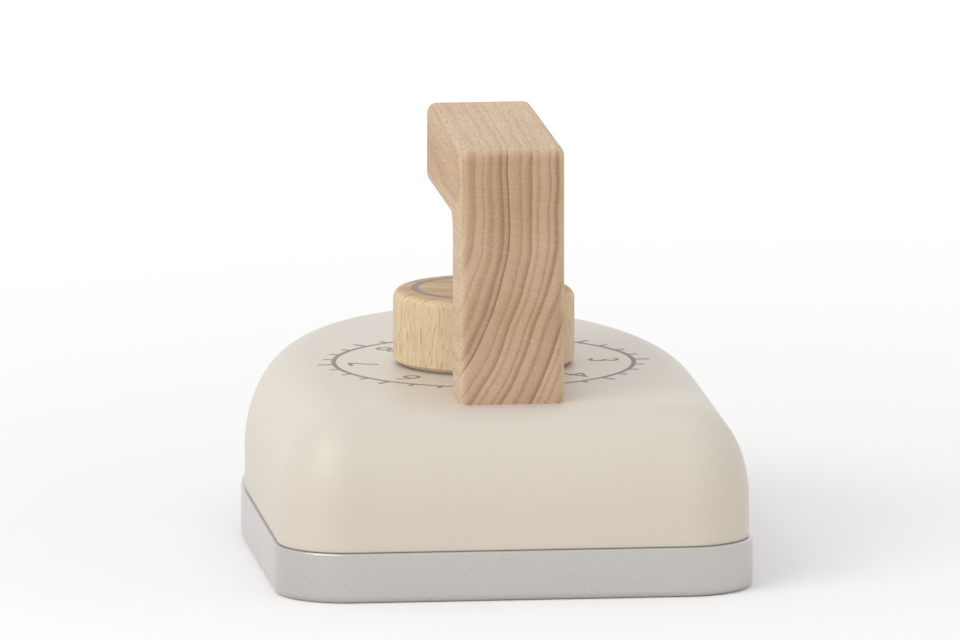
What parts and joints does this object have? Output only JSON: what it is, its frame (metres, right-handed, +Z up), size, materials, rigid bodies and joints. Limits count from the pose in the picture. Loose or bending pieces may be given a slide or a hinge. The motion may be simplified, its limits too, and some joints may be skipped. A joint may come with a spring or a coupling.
{
  "type": "toy iron",
  "caption": "Wooden toy iron: cream block with a rounded top edge on a silver sole, an open beech handle in the shape of a 7 and a round beech dial that turns.",
  "frame": {"origin": "middle of the sole's underside, on the surface the iron stands on", "axes": "+Z up, +Y from the heel to the nose, +X to the right when looking from the heel to the nose"},
  "size_m": [0.1, 0.154, 0.0925],
  "materials": {
    "cream_lacquer": "satin cream lacquer over a smooth wooden block",
    "silver_lacquer": "silver metallic lacquer over a smooth wooden plate",
    "beech": "sanded and oiled beech",
    "dowel_beech": "bare beech",
    "brass": "turned",
    "zinc_steel": "zinc plated",
    "nylon": "moulded, natural"
  },
  "bodies": {
    "iron": {"body_block": "cream_lacquer", "sole_plate": "silver_lacquer", "handle": "beech", "dial_bush": "nylon", "dial_slip_washer": "nylon", "dial_head_washer": "zinc_steel", "handle_screw": "zinc_steel", "handle_screw_washer": "zinc_steel", "handle_dowel_left": "dowel_beech", "handle_dowel_right": "dowel_beech", "sole_dowel_heel_left": "dowel_beech", "sole_dowel_heel_right": "dowel_beech", "sole_dowel_nose": "dowel_beech"},
    "dial": {"dial_knob": "beech", "dial_insert": "brass", "dial_screw": "zinc_steel"}
  },
  "joints": [
    {"name": "dial_turn", "type": "hinge", "parent": "iron", "child": "dial", "pos_m": [0, -0.007, 0.0385], "axis": [0, 0, 1], "continuous": true}
  ]
}
